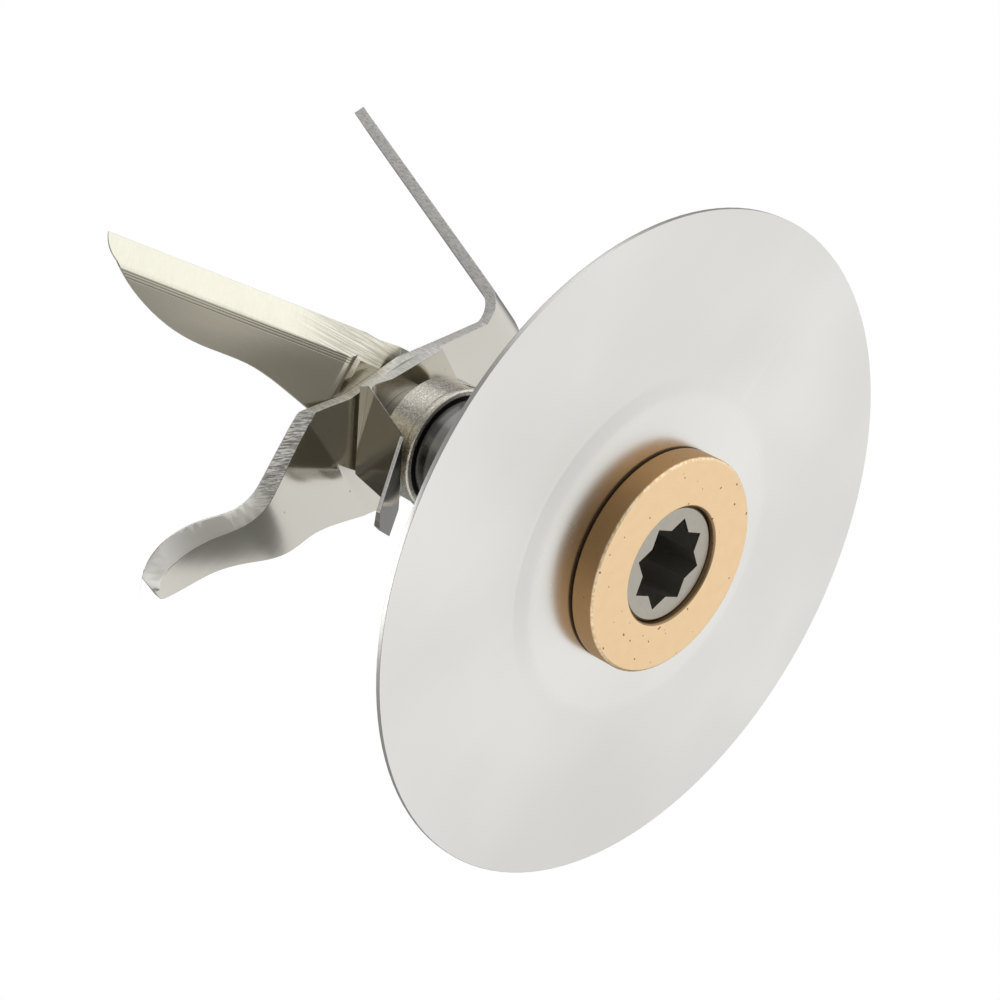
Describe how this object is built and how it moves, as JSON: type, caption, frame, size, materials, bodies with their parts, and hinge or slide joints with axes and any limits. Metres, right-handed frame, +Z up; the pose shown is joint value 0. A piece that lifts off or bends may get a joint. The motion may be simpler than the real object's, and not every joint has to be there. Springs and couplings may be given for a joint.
{
  "type": "blender blade assembly",
  "caption": "Blender blade assembly: bent cutting blades on a shaft that turns in a bearing tower, on a round sealing disc with a star-shaped drive socket below.",
  "frame": {"origin": "centre of the bronze flange's lower face, on the shaft's axis", "axes": "+Z up the shaft from the drive socket to the blades, +X to the right and +Y away from the picture's camera"},
  "size_m": [0.066, 0.066, 0.0669],
  "materials": {
    "disc_steel": "satin pressed stainless steel",
    "bronze": "sintered bronze, faced",
    "housing_black": "smooth, glossy",
    "rubber_black": "matt",
    "shaft_steel": "turned",
    "collar_steel": "fine turned",
    "blade_steel": "polished, with ground bevels",
    "fastener_steel": "plain"
  },
  "bodies": {
    "base": {"base_disc": "disc_steel", "flange_bushing": "bronze", "bearing_housing": "housing_black", "disc_gasket": "rubber_black", "upper_bushing": "bronze", "shaft_seal": "rubber_black", "thrust_washer": "fastener_steel"},
    "rotor": {"drive_shaft": "shaft_steel", "seal_collar": "collar_steel", "collar_ring": "rubber_black", "retaining_clip": "fastener_steel", "blade_spacer": "fastener_steel", "lower_blade": "blade_steel", "middle_blade": "blade_steel", "top_blade": "blade_steel", "lock_washer": "fastener_steel", "blade_nut": "fastener_steel"}
  },
  "joints": [
    {"name": "blade_spin", "type": "hinge", "parent": "base", "child": "rotor", "pos_m": [0, 0, 0.02], "axis": [0, 0, 1], "continuous": true}
  ]
}
